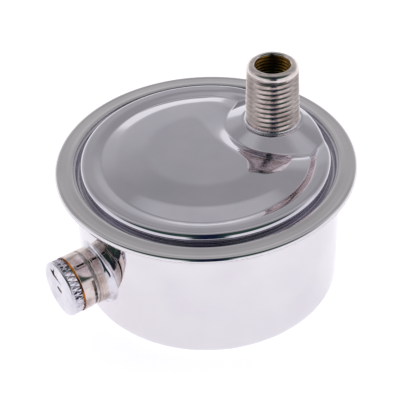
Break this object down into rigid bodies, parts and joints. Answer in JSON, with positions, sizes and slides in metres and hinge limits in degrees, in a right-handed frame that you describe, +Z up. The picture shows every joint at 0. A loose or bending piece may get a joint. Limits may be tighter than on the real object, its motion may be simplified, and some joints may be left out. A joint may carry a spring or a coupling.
{
  "type": "adjustable radiator air vent",
  "caption": "Round plated air vent: pot with rolled rim and pressed cover, upright pipe nipple near the edge, and a side arm ending in a knurled turning cap with an arrow.",
  "frame": {"origin": "centre of the flat closed end of the pot, on the pot's axis", "axes": "+Z up along the pot's axis and the inlet nipple, nipple offset towards +X, adjuster arm along -X"},
  "size_m": [0.0805, 0.074, 0.0538],
  "materials": {
    "chrome_plate": "bright chrome plate on drawn sheet",
    "nickel_plate": "bright nickel plate on turned brass",
    "solder": "soft solder, plated over",
    "copper": "bare copper alloy ring",
    "fibre": "red vulcanised fibre",
    "brass": "bare turned or pressed brass",
    "spring_steel": "spring steel",
    "bimetal": "rolled bimetal strip"
  },
  "bodies": {
    "housing": {"pot_shell": "chrome_plate", "cover_plate": "chrome_plate", "port_flare": "chrome_plate", "port_collar": "nickel_plate", "inlet_nipple": "nickel_plate", "nipple_solder_ring": "solder", "rim_gasket": "fibre", "port_gasket": "fibre", "splash_baffle": "brass", "port_nut": "brass", "port_seat": "brass", "element_bracket": "brass", "blade_rivets": "brass", "calibration_locknut": "brass", "friction_washer": "spring_steel", "stop_pin": "spring_steel", "retaining_clip": "spring_steel", "calibration_screw": "spring_steel", "bimetal_blade": "bimetal"},
    "adjuster": {"valve_barrel": "nickel_plate", "cap_seal_ring": "copper", "adjuster_cap": "nickel_plate"},
    "shutoff": {"shutoff_pin": "brass", "pin_clip": "spring_steel"}
  },
  "joints": [
    {"name": "vent_adjust", "type": "hinge", "parent": "housing", "child": "adjuster", "pos_m": [-0.04, 0, 0.0149], "axis": [-1, 0, 0], "range_deg": [-40, 140]},
    {"name": "shutoff_close", "type": "slide", "parent": "housing", "child": "shutoff", "axis": [-1, 0, 0], "range_m": [0, 0.0015], "stiffness_N_per_m": 60, "deforming": ["bimetal_blade"]}
  ]
}
